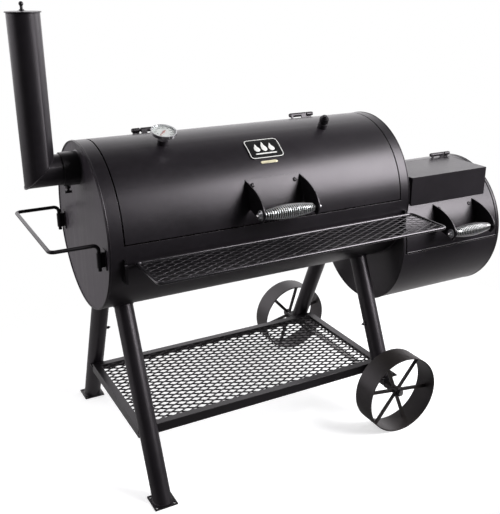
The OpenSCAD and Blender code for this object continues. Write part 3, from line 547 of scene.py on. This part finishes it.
def expanded_metal(name, node, body, lo, hi, z, width, thick, tilt, look=None):
    """Raised diamond mesh. Each strand zigzags along X, low where it meets the strand in front of
    it and high where it meets the one behind. It leans back by the tilt, in degrees."""
    long_way, short_way = 50.8 * mm, 23.4 * mm
    bond, rise, tilt = 3.5 * mm, 1.2 * mm, math.radians(tilt)
    across = (math.cos(tilt) * width / 2, math.sin(tilt) * width / 2)
    through = (-math.sin(tilt) * thick / 2, math.cos(tilt) * thick / 2)
    cut = 0.28
    section = [(i * across[0] * a + j * through[0] * b, i * across[1] * a + j * through[1] * b)
               for i, j, a, b in ((1, 1, 1 - cut * 0.6, 1), (-1, 1, 1 - cut * 0.6, 1), (-1, 1, 1, 1 - cut),
                                  (-1, -1, 1, 1 - cut), (-1, -1, 1 - cut * 0.6, 1), (1, -1, 1 - cut * 0.6, 1),
                                  (1, -1, 1, 1 - cut), (1, 1, 1, 1 - cut))]
    pitch = short_way / 2
    count = int((hi.y - lo.y - 2 * mm) / pitch)
    margin = (hi.y - lo.y - count * pitch) / 2
    shape = Shape()
    for k in range(count):
        base = lo.y + margin + (k + 0.5) * pitch
        swing = (pitch - width * math.cos(tilt)) / 2
        x, stations = lo.x + 0.3 * mm, []
        phase = 0.0 if k % 2 else long_way / 2
        halves = int((hi.x - lo.x) / long_way * 2) + 6
        turns = [lo.x + phase - long_way + i * long_way / 2 for i in range(halves)]
        for i, t in enumerate(turns):
            side = 1 if i % 2 else -1
            stations += [(t - bond / 2, side), (t + bond / 2, side)]

        def at(x):
            for (xa, sa), (xb, sb) in zip(stations, stations[1:]):
                if xa <= x <= xb:
                    return sa + (sb - sa) * (x - xa) / (xb - xa)
            return 0.0

        end = hi.x - 0.3 * mm
        xs = [x] + [s[0] for s in stations if x + 1e-4 < s[0] < end - 1e-4] + [end]
        rings = []
        for x in xs:
            s = at(x)
            rings.append([(x, base + s * swing + dy, z + s * rise + dz) for dy, dz in section])
        shape.rings(rings)
    return piece(name, shape, body, "mesh_paint", (node,), look, smooth=False)


frame_lo, frame_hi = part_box("front_shelf_frame")
rod_r = (frame_hi.z - frame_lo.z) / 2
inset = Vector((rod_r * 1.3, rod_r * 1.3, 0))
expanded_metal("front_shelf_expanded", "front_shelf_mesh", "frame", frame_lo + inset, frame_hi - inset,
               middle("front_shelf_frame").z + 0.4 * mm, 3.0 * mm, 1.3 * mm, 12,
               paint("high_mesh_paint", (0.016, 0.015, 0.017), 0.22, gloss=0.75))
# The bottom shelf's mesh is a much darker, duller copy of the front shelf's mesh paint, which is painted shade
# under the barrel
expanded_metal("bottom_shelf_expanded", "bottom_shelf_mesh", "frame", low("bottom_shelf_mesh"),
               high("bottom_shelf_mesh"), high("bottom_shelf_mesh").z - 3.8 * mm, 5.0 * mm, 2.2 * mm, 52,
               paint("shaded_low_mesh_paint", (0.004, 0.0036, 0.0042), 0.48, gloss=0.28))


# ---- Wound grips and their fasteners ----

spring_wire = metal("spring_wire", (0.96, 0.96, 0.97), 0.30, 500.0)
bright_nut = metal("bright_nut", (0.90, 0.90, 0.92), 0.27, 500.0)


def grip(prefix, body, bracket, rod, coil, fasteners):
    """A wire wound to a spindle shape on a dark core, which is painted shade for the shadow inside the coil, with
    a washer, nut and bolt end on each side.
    """
    rod_lo, rod_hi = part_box(rod)
    rod_r = (rod_hi.z - rod_lo.z) / 2
    axis = middle(rod)
    lo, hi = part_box(coil)
    big = (hi.z - lo.z) / 2
    end_share = 13 / 22
    small = big * end_share
    turns, per_turn = 24, 28
    wire = (hi.x - lo.x) / turns * 0.23
    path, core = [], []
    total = turns * per_turn
    for i in range(total + 1):
        t = i / total
        r = small + (big - small) * math.sin(math.pi * t) - wire
        ease = min(1.0, min(t, 1 - t) * turns / 0.8)
        r = rod_r + wire + (r - rod_r - wire) * (0.55 + 0.45 * ease)
        a = 2 * math.pi * turns * t
        x = lo.x + wire + (hi.x - lo.x - 2 * wire) * t
        path.append((x, axis.y + r * math.cos(a), axis.z + r * math.sin(a)))
        if i % per_turn == 0:
            core.append((max(rod_r + 0.5 * mm, r - wire * 1.6), x - lo.x))
    piece(prefix + "_grip_spring", Shape().tube(path, wire, 10), body, "chrome_plate", (coil,), spring_wire)
    # The dark core inside the coil is painted shade: it darkens the gaps between the turns the way the shadow
    # inside a spring would
    inner = [(rod_r + 0.1 * mm, core[-1][1]), (rod_r + 0.1 * mm, core[0][1])]
    shadow_core = Shape().lathe(Vector((lo.x, axis.y, axis.z)), (1, 0, 0), core + inner, 40, closed=True)
    piece(prefix + "_grip_shadow_core", shadow_core, body, "dark_paint")

    shape = Shape()
    for side, x in ((-1, low(bracket).x), (1, high(bracket).x)):
        out = Vector((side, 0, 0))
        face = Vector((x, axis.y, axis.z)) + out * 0.5 * mm
        shape.washer(face, out, 16 * mm, rod_r + 0.3 * mm, 2 * mm)
        shape.nut(face + out * 2 * mm, out, 7.8 * mm, rod_r + 0.05 * mm, 7.5 * mm, 0.3 + side * 0.2)
        end = rod_hi.x if side > 0 else rod_lo.x
        bolt = Vector((x + side * 9.6 * mm, axis.y, axis.z))
        shape.thread(bolt, out, rod_r + 0.02 * mm, abs(end - bolt.x) - 0.1 * mm)
    piece(prefix + "_grip_nuts", shape, body, "chrome_plate", (fasteners,), bright_nut)


def dome_screws(name, body, node, centre, r):
    """Round-headed screws, each with a round socket, where the CAD node has them."""
    cloud = points(node)
    away = np.hypot(cloud[:, 1] - centre.y, cloud[:, 2] - centre.z)
    heads = cloud[away < r + 9 * mm]
    split = (heads[:, 0].min() + heads[:, 0].max()) / 2
    shape = Shape()
    for part in (heads[heads[:, 0] < split], heads[heads[:, 0] > split]):
        spot = Vector((part.min(0) + part.max(0)) / 2)
        out = Vector((0, spot.y - centre.y, spot.z - centre.z)).normalized()
        foot = Vector((spot.x, centre.y, centre.z)) + out * (r + 2.65 * mm)
        dome = [(7 * mm * math.cos(math.radians(a)) ** 0.8, 0.4 * mm + 3.6 * mm * math.sin(math.radians(a)))
                for a in range(0, 66, 8)]
        profile = [(0, 0), (7 * mm, 0)] + dome + [(2.6 * mm, 3.7 * mm), (2.3 * mm, 1.6 * mm), (0, 1.6 * mm)]
        shape.lathe(foot, out, profile, 36)
    piece(name, shape, body, "dark_paint")


grip("lid", "lid", "lid_handle_bracket", "lid_grip_rod", "lid_grip_coil", "lid_handle_fasteners")
dome_screws("lid_handle_screws", "lid", "lid_handle_fasteners", barrel, barrel_r)
grip("firebox", "firebox_door", "firebox_handle_bracket", "firebox_grip_rod", "firebox_grip_coil",
     "firebox_handle_fasteners")
dome_screws("firebox_handle_screws", "firebox_door", "firebox_handle_fasteners", firebox, firebox_r)


# ---- Axle nuts ----

axle = middle("axle")
axle_r = (high("axle").z - low("axle").z) / 2
shape = Shape()
for wheel, side in (("wheel_front", -1), ("wheel_back", 1)):
    out = Vector((0, side, 0))
    hub = [p for p in points(wheel) if math.hypot(p[0] - axle.x, p[2] - axle.z) < 15 * mm]
    inner = min(abs(p[1] - axle.y) for p in hub)
    outer = max(abs(p[1] - axle.y) for p in hub)
    shape.washer(axle + out * (inner - 3.2 * mm), out, 15 * mm, axle_r + 0.1 * mm, 2.2 * mm)
    shape.washer(axle + out * (outer + 1 * mm), out, 15 * mm, axle_r + 0.1 * mm, 2 * mm)
    shape.nut(axle + out * (outer + 3 * mm), out, 11.3 * mm, axle_r + 0.05 * mm, 7 * mm, 0.26)
piece("axle_hardware", shape, "frame", "dark_paint", ("axle_nuts",))


# ---- Welds ----

bead_step = 1.8 * mm


def rim(shape, centre, x, r, size, seed):
    """A weld right round a drum's end."""
    shape.bead(circle((x, centre.y, centre.z), (1, 0, 0), r, int(2 * math.pi * r / bead_step)), size,
               closed=True, seed=seed)


shape = Shape()
rim(shape, barrel, barrel_x[0] + sheet, barrel_r - 0.3 * mm, 1.7 * mm, 1)
rim(shape, barrel, barrel_x[1] - sheet, barrel_r - 0.3 * mm, 1.7 * mm, 2)
piece("barrel_end_welds", shape, "frame", "black_paint")

lip_h, lip_round = 2.7 * mm, 0.5 * mm
lip = Shape().lathe(Vector((barrel_x[0] + 0.2 * mm, barrel.y, barrel.z)), (-1, 0, 0),
                    [(barrel_r - sheet, 0), (barrel_r, 0), (barrel_r, lip_h - lip_round),
                     (barrel_r - lip_round, lip_h), (barrel_r - sheet + lip_round, lip_h),
                     (barrel_r - sheet, lip_h - lip_round)], 192, closed=True)
piece("barrel_end_lip", lip, "frame", "black_paint")

cloud = points("firebox_lid")
rim_y = cloud[cloud[:, 2] < cloud[:, 2].min() + 1 * mm][:, 1].min() - 0.4 * mm
edge_z = float(cloud[:, 2].min()) + 1.6 * mm
piece("firebox_lid_edge", Shape().tube([(cloud[:, 0].min() + 1 * mm, rim_y, edge_z),
                                        (cloud[:, 0].max() - 1 * mm, rim_y, edge_z)], 1.5 * mm, 12),
      "firebox_door", "shelf_rod")

shape = Shape()
rim(shape, firebox, firebox_x[1] - sheet, firebox_r - 0.3 * mm, 1.6 * mm, 3)
arc = [p for p in circle((firebox_x[0], firebox.y, firebox.z), (1, 0, 0), firebox_r + 0.6 * mm, 720)
       if math.hypot(p.y - barrel.y, p.z - barrel.z) < barrel_r - 1 * mm]
arc.sort(key=lambda p: p.y)
shape.bead(resampled(arc, bead_step), 2.4 * mm, seed=4)
lower = [p for p in circle((barrel_x[1], barrel.y, barrel.z), (1, 0, 0), barrel_r + 0.6 * mm, 720)
         if math.hypot(p.y - firebox.y, p.z - firebox.z) < firebox_r - 1 * mm]
lower.sort(key=lambda p: p.y)
shape.bead(resampled(lower, bead_step), 2.2 * mm, seed=5)
rest = circle((firebox_x[0] + sheet, firebox.y, firebox.z), (1, 0, 0), firebox_r - 0.3 * mm, 900)
shape.bead(resampled(rest, bead_step, True), 1.6 * mm, closed=True, seed=6)
piece("firebox_welds", shape, "frame", "black_paint")


def seam(node, test, centre):
    """The node's points that pass a test, in order round a centre seen from above."""
    found = [Vector(p) for p in points(node) if test(p)]
    found.sort(key=lambda p: math.atan2(p.y - centre.y, p.x - centre.x))
    kept = []
    for p in found:
        if not kept or (p - kept[-1]).length > 0.8 * mm:
            kept.append(p)
    return kept


shape = Shape()
for seed, leg in enumerate(("leg_front_left", "leg_back_left", "leg_front_right", "leg_back_right")):
    cloud = points(leg)
    away = np.hypot(cloud[:, 1] - barrel.y, cloud[:, 2] - barrel.z)
    joined = cloud[away < barrel_r + 0.4 * mm]
    centre = Vector(joined.mean(0))
    spread = np.hypot(joined[:, 0] - centre.x, joined[:, 1] - centre.y)
    line = seam(leg, lambda p: math.hypot(p[1] - barrel.y, p[2] - barrel.z) < barrel_r + 0.4 * mm
                and math.hypot(p[0] - centre.x, p[1] - centre.y) > spread.max() * 0.55, centre)
    ring = {}
    for p in line:
        key = round(math.degrees(math.atan2(p.y - centre.y, p.x - centre.x)) / 6)
        if key not in ring or (p - centre).length > (ring[key] - centre).length:
            ring[key] = p
    shape.bead(resampled([ring[k] for k in sorted(ring)], bead_step, True), 2.6 * mm, closed=True, seed=seed)
    foot = cloud[cloud[:, 2] < cloud[:, 2].min() + 0.3 * mm]
    centre = Vector(foot.mean(0))
    ring = {}
    for p in foot:
        key = round(math.degrees(math.atan2(p[1] - centre.y, p[0] - centre.x)) / 6)
        if key not in ring or math.dist(p, centre) > math.dist(ring[key], centre):
            ring[key] = tuple(p)
    shape.bead(resampled([ring[k] for k in sorted(ring)], bead_step, True), 2.2 * mm, closed=True,
               seed=seed + 9)
piece("leg_welds", shape, "frame", "black_paint")

collar = middle("stack_collar")
collar_r = (high("stack_collar").y - low("stack_collar").y) / 2
stack_r = 44.5 * mm
stack_x = low("smokestack").x + stack_r
shape = Shape()
shape.bead(circle((barrel_x[0], collar.y, collar.z), (1, 0, 0), collar_r + 0.5 * mm, 190), 2.3 * mm,
           closed=True, seed=7)
mitre = [Vector((stack_x + (stack_r - 0.2 * mm) * math.cos(t), collar.y + (stack_r - 0.2 * mm) * math.sin(t),
                 collar.z + (stack_r - 0.2 * mm) * math.cos(t)))
         for t in (2 * math.pi * k / 240 for k in range(240))]
shape.bead(mitre, 1.8 * mm, closed=True, seed=8)
# The chimney welds take the lightened edge paint, a painted highlight with worn flecks
piece("chimney_welds", shape, "frame", "black_paint", look=edges["black_paint"])


# ---- Dial ----

turn = joint("thermometer_needle_turn")
dial_out = -Vector(turn["axis"]).normalized()
dial_right = Vector((1, 0, 0))
dial_up = dial_out.cross(dial_right)
dial_centre = Vector(turn["pos_m"])
dial_r = (high("thermometer_dial").x - low("thermometer_dial").x) / 2
face_h = max((Vector(p) - dial_centre).dot(dial_out) for p in points("thermometer_dial"))


def on_dial(x, y, lift):
    return dial_centre + dial_right * x + dial_up * y + dial_out * (face_h + lift)


def dial_mark(shape, angle, r0, r1, width):
    a = math.radians(angle)
    way, side = (math.cos(a), math.sin(a)), (-math.sin(a), math.cos(a))
    corners = [(r0, -width / 2), (r1, -width / 2), (r1, width / 2), (r0, width / 2)]
    shape.rings([[on_dial(way[0] * r + side[0] * s, way[1] * r + side[1] * s, h) for r, s in corners]
                 for h in (0.02 * mm, 0.18 * mm)])


shape = Shape()
for i in range(46):
    main = i % 5 == 0
    dial_mark(shape, 225 - i * 6, dial_r * (0.84 if main else 0.89), dial_r * 0.945,
              (0.9 if main else 0.4) * mm)
sweep = [math.radians(225 - 270 * k / 90) for k in range(91)]
outer_arc = [[on_dial(r * math.cos(a), r * math.sin(a), h) for r, h in
              ((dial_r * 0.945, 0.02 * mm), (dial_r * 0.96, 0.02 * mm), (dial_r * 0.96, 0.18 * mm),
               (dial_r * 0.945, 0.18 * mm))] for a in sweep]
shape.rings(outer_arc)
for i in range(10):
    a = math.radians(225 - i * 30)
    curve = bpy.data.curves.new("digits", "FONT")
    curve.body = str(100 + 50 * i)
    curve.size = 6.4 * mm
    curve.align_x = "CENTER"
    curve.align_y = "CENTER"
    curve.extrude = 0.08 * mm
    text = bpy.data.objects.new("digits", curve)
    scene.collection.objects.link(text)
    bpy.context.view_layer.update()
    flat = text.evaluated_get(bpy.context.evaluated_depsgraph_get()).to_mesh()
    base = len(shape.verts)
    x, y = dial_r * 0.69 * math.cos(a), dial_r * 0.69 * math.sin(a)
    shape.verts += [tuple(on_dial(x + v.co.x, y + v.co.y, v.co.z + 0.1 * mm)) for v in flat.vertices]
    shape.faces += [tuple(base + k for k in p.vertices) for p in flat.polygons]
    text.to_mesh_clear()
    bpy.data.objects.remove(text)
    bpy.data.curves.remove(curve)
piece("dial_marks", shape, "lid", "dial_face", look=ink, smooth=False)


# ---- Badge and tag ----

badge = points("badge_plate")
badge_lo, badge_hi = badge.min(0), badge.max(0)
around = np.degrees(np.arctan2(badge[:, 2] - barrel.z, -(badge[:, 1] - barrel.y)))
skin_r = float(np.hypot(badge[:, 1] - barrel.y, badge[:, 2] - barrel.z).max())
badge_x = (badge_lo[0] + badge_hi[0]) / 2
badge_angle = float(around.min() + around.max()) / 2
badge_w = float(badge_hi[0] - badge_lo[0])
badge_h = math.radians(float(around.max() - around.min())) * skin_r


def on_skin(x, centre, u, v, r):
    """A point on the rolled lid: u runs along X and v up along the sheet."""
    return on_barrel(x + u, centre + math.degrees(v / r), r)


def line_on_skin(shape, x, centre, outline, width, r, height, closed=True):
    """A raised line of a width that follows an outline on the rolled lid."""
    count = len(outline)
    rings = []
    for i in range(count):
        a = Vector(outline[i - 1] if i or closed else outline[i])
        b = Vector(outline[(i + 1) % count] if i < count - 1 or closed else outline[i])
        way = (b - a).normalized()
        side = Vector((-way.y, way.x)) * width / 2
        p = Vector(outline[i])
        rings.append([on_skin(x, centre, *(p + side * s), r + h) for s, h in
                      ((-1, 0), (-0.8, height), (0.8, height), (1, 0), (0, -0.3 * mm))])
    shape.rings(rings, closed)


def fill_on_skin(shape, x, centre, outline, r, height):
    """A raised flat patch with rounded shoulders."""
    middle_u = sum(p[0] for p in outline) / len(outline)
    middle_v = sum(p[1] for p in outline) / len(outline)

    def ring(share, h):
        return [on_skin(x, centre, middle_u + (u - middle_u) * share,
                        middle_v + (v - middle_v) * share, r + h) for u, v in outline]

    shape.rings([ring(1.0, -0.2 * mm), ring(1.0, height * 0.7), ring(0.96, height)])


def rounded(w, h, corner):
    """The outline of a plate with rounded corners, from its half width and half height."""
    return [(a * (w - corner) + corner * math.cos(math.radians(start + 15 * k)),
             b * (h - corner) + corner * math.sin(math.radians(start + 15 * k)))
            for a, b, start in ((1, 1, 0), (-1, 1, 90), (-1, -1, 180), (1, -1, 270)) for k in range(7)]


def flame(u, v, w, h):
    """A plain tongue of fire: round at the foot and drawn to a point that leans to one side."""
    left = [(-0.06, 0.0), (-0.30, 0.05), (-0.47, 0.20), (-0.50, 0.38), (-0.40, 0.56), (-0.24, 0.72),
            (-0.10, 0.86), (0.02, 1.0)]
    right = [(0.12, 0.84), (0.16, 0.68), (0.26, 0.56), (0.42, 0.42), (0.50, 0.26), (0.42, 0.11), (0.20, 0.02)]
    return [(u + w * a, v + h * b) for a, b in (left + right)[::-1]]


plate_top = skin_r + 0.05 * mm
shape = Shape()
margin = 3.4 * mm
border = rounded(badge_w / 2 - margin, badge_h / 2 - margin, 10.6 * mm)
line_on_skin(shape, badge_x, badge_angle, resampled(border, 2 * mm, True), 2.6 * mm, plate_top, 0.5 * mm)
for u, size in ((-25 * mm, 0.82), (0, 1.0), (25 * mm, 0.82)):
    fill_on_skin(shape, badge_x, badge_angle, flame(u, -13 * mm, 19 * mm, 39 * mm * size), plate_top,
                 0.5 * mm)
line_on_skin(shape, badge_x, badge_angle, [(-36 * mm, -21 * mm), (36 * mm, -21 * mm)], 4.6 * mm, plate_top,
             0.45 * mm, closed=False)
piece("badge_emblem", shape, "lid", "dial_face")

tag = middle("badge_tag")
tag_angle = math.degrees(math.atan2(tag.z - barrel.z, -(tag.y - barrel.y)))
tag_w, tag_h = (high("badge_tag").x - low("badge_tag").x) / 2, 4.7 * mm
outline = [(s * (tag_w - tag_h) + tag_h * math.cos(math.radians(a)), tag_h * math.sin(math.radians(a)))
           for s, start in ((1, -90), (-1, 90)) for a in range(start, start + 181, 15)]
shape = Shape()
base_r = barrel_r + 0.15 * mm


def tag_ring(share, h):
    """The strip's outline drawn in by a share of its half height, at a height over the lid."""
    return [on_skin(tag.x, tag_angle, u * (1 - (1 - share) * tag_h / tag_w), v * share, base_r + h)
            for u, v in outline]


shape.rings([tag_ring(1.0, 0), tag_ring(1.0, 1.0 * mm), tag_ring(0.86, 1.5 * mm)])
for side in (-1, 1):
    spot = on_skin(tag.x, tag_angle, side * (tag_w - tag_h), 0, base_r + 1.4 * mm)
    out = (spot - Vector((spot.x, barrel.y, barrel.z))).normalized()
    shape.lathe(spot, out, [(0, -0.2 * mm), (1.9 * mm, -0.2 * mm), (1.9 * mm, 0.2 * mm), (1.3 * mm, 0.7 * mm),
                            (0, 0.9 * mm)], 20)
piece("tag_strip", shape, "lid", "brass_tag", ("badge_tag",))


# ---- Floor, light and camera ----

mesh = bpy.data.meshes.new("floor")
mesh.from_pydata([(-9, -0.9, 0), (9, -0.9, 0), (9, 9, 0), (-9, 9, 0)], [], [(0, 1, 2, 3)])
floor = bpy.data.objects.new("floor", mesh)
scene.collection.objects.link(floor)
pale = Nodes("floor_pale")
soft_noise = pale.noise(3.0, 3.0, 0.5)
spot = pale.add("ShaderNodeSeparateXYZ", Vector=pale.place).outputs
# To rays other than the camera's, the floor is painted near black at its front edge and grey with a faint glow
# further back under the smoker, which is a painted shade
under = pale.fit(spot[1], -0.65, 0.15, 0.0, 1.0)
card = pale.mix(soft_noise, (0.38, 0.37, 0.37), (0.41, 0.40, 0.40))
pale.set(Base_Color=pale.mix(under, (0.04, 0.04, 0.04), card), Roughness=0.7, Specular_IOR_Level=0.2,
         Emission_Color=(1, 1, 1, 1), Emission_Strength=pale.math("MULTIPLY", under, 0.13))
# Seen directly, the floor is nearly white and thins out away from the feet
plain = pale.add("ShaderNodeBsdfDiffuse", Color=(0.72, 0.72, 0.73, 1))
lit = pale.add("ShaderNodeEmission", Color=(1, 1, 1, 1), Strength=0.62)
seen_floor = pale.tree.nodes.new("ShaderNodeAddShader")
pale.feed(seen_floor.inputs[0], plain.outputs[0])
pale.feed(seen_floor.inputs[1], lit.outputs[0])
away = pale.math("SQRT", pale.math("ADD", pale.math("POWER", pale.math("MULTIPLY", spot[0], 0.8), 2.0),
                                   pale.math("POWER", spot[1], 2.0)))
cover = pale.math("MULTIPLY", pale.fit(away, 0.55, 1.25, 1.0, 0.0),
                  pale.fit(spot[1], -0.85, -0.45, 0.0, 1.0))
thin = pale.add("ShaderNodeMixShader", Fac=cover)
pale.feed(thin.inputs[1], pale.add("ShaderNodeBsdfTransparent").outputs[0])
pale.feed(thin.inputs[2], seen_floor.outputs[0])
which = pale.add("ShaderNodeMixShader", Fac=pale.add("ShaderNodeLightPath").outputs["Is Camera Ray"])
pale.feed(which.inputs[1], pale.shader.outputs[0])
pale.feed(which.inputs[2], thin.outputs[0])
pale.feed(pale.tree.nodes["Material Output"].inputs["Surface"], which.outputs[0])
mesh.materials.append(pale.material)

world = bpy.data.worlds.new("studio")
scene.world = world
world.use_nodes = True
tree = world.node_tree
back = tree.nodes["Background"]
direction = tree.nodes.new("ShaderNodeTexCoord").outputs["Generated"]
parts = tree.nodes.new("ShaderNodeSeparateXYZ")
tree.links.new(direction, parts.inputs[0])
glow = tree.nodes.new("ShaderNodeMapRange")
glow.interpolation_type = "SMOOTHSTEP"
for key, value in (("From Min", 0.22), ("From Max", 0.95), ("To Min", 0.06), ("To Max", 1.8)):
    glow.inputs[key].default_value = value


def world_math(operation, a, b):
    node = tree.nodes.new("ShaderNodeMath")
    node.operation = operation
    for socket, value in zip(node.inputs, (a, b)):
        if isinstance(value, bpy.types.NodeSocket):
            tree.links.new(value, socket)
        else:
            socket.default_value = value
    return node.outputs[0]


# The back glow is lowest a little to the right of straight ahead
aside = world_math("ABSOLUTE", world_math("SUBTRACT", parts.outputs[0], 0.2), 0.0)
lift = world_math("SUBTRACT", world_math("MULTIPLY", aside, 0.71), 0.21)
tree.links.new(world_math("ADD", parts.outputs[1], lift), glow.inputs["Value"])
tree.links.new(glow.outputs[0], back.inputs["Strength"])
seen = tree.nodes.new("ShaderNodeBackground")
seen.inputs["Strength"].default_value = 1.0
seen.inputs["Color"].default_value = (1, 1, 1, 1)
back.inputs["Color"].default_value = (1.0, 0.985, 1.0, 1)
choose = tree.nodes.new("ShaderNodeMixShader")
tree.links.new(tree.nodes.new("ShaderNodeLightPath").outputs["Is Camera Ray"], choose.inputs[0])
tree.links.new(back.outputs[0], choose.inputs[1])
tree.links.new(seen.outputs[0], choose.inputs[2])
tree.links.new(choose.outputs[0], tree.nodes["World Output"].inputs["Surface"])


def softbox(name, at, target, size, power):
    light = bpy.data.lights.new(name, "AREA")
    light.shape = "RECTANGLE"
    light.size, light.size_y = size
    light.energy = power
    o = bpy.data.objects.new(name, light)
    o.location = at
    o.rotation_euler = (Vector(target) - Vector(at)).to_track_quat("-Z", "Y").to_euler()
    scene.collection.objects.link(o)


softbox("right_box", (2.35, -2.5, 2.7), (0.1, 0, 0.8), (2.0, 2.4), 215)
softbox("side_box", (3.1, -0.2, 1.9), (0, 0, 0.9), (1.8, 2.0), 60)

camera = bpy.data.objects.new("camera", bpy.data.cameras.new("camera"))
scene.collection.objects.link(camera)
azimuth, pitch, roll = math.radians(-28.18), math.radians(20.49), math.radians(-0.13)
look = Vector((-math.sin(azimuth) * math.cos(pitch), math.cos(azimuth) * math.cos(pitch),
               -math.sin(pitch)))
camera.matrix_world = Matrix.Translation((-1.2273, -2.0702, 1.4643)) @ \
    look.to_track_quat("-Z", "Y").to_matrix().to_4x4() @ Matrix.Rotation(roll, 4, "Z")
camera.data.lens = 51.89
camera.data.sensor_width = 36
camera.data.clip_start, camera.data.clip_end = 0.05, 60
scene.camera = camera
scene.view_settings.view_transform = "Standard"
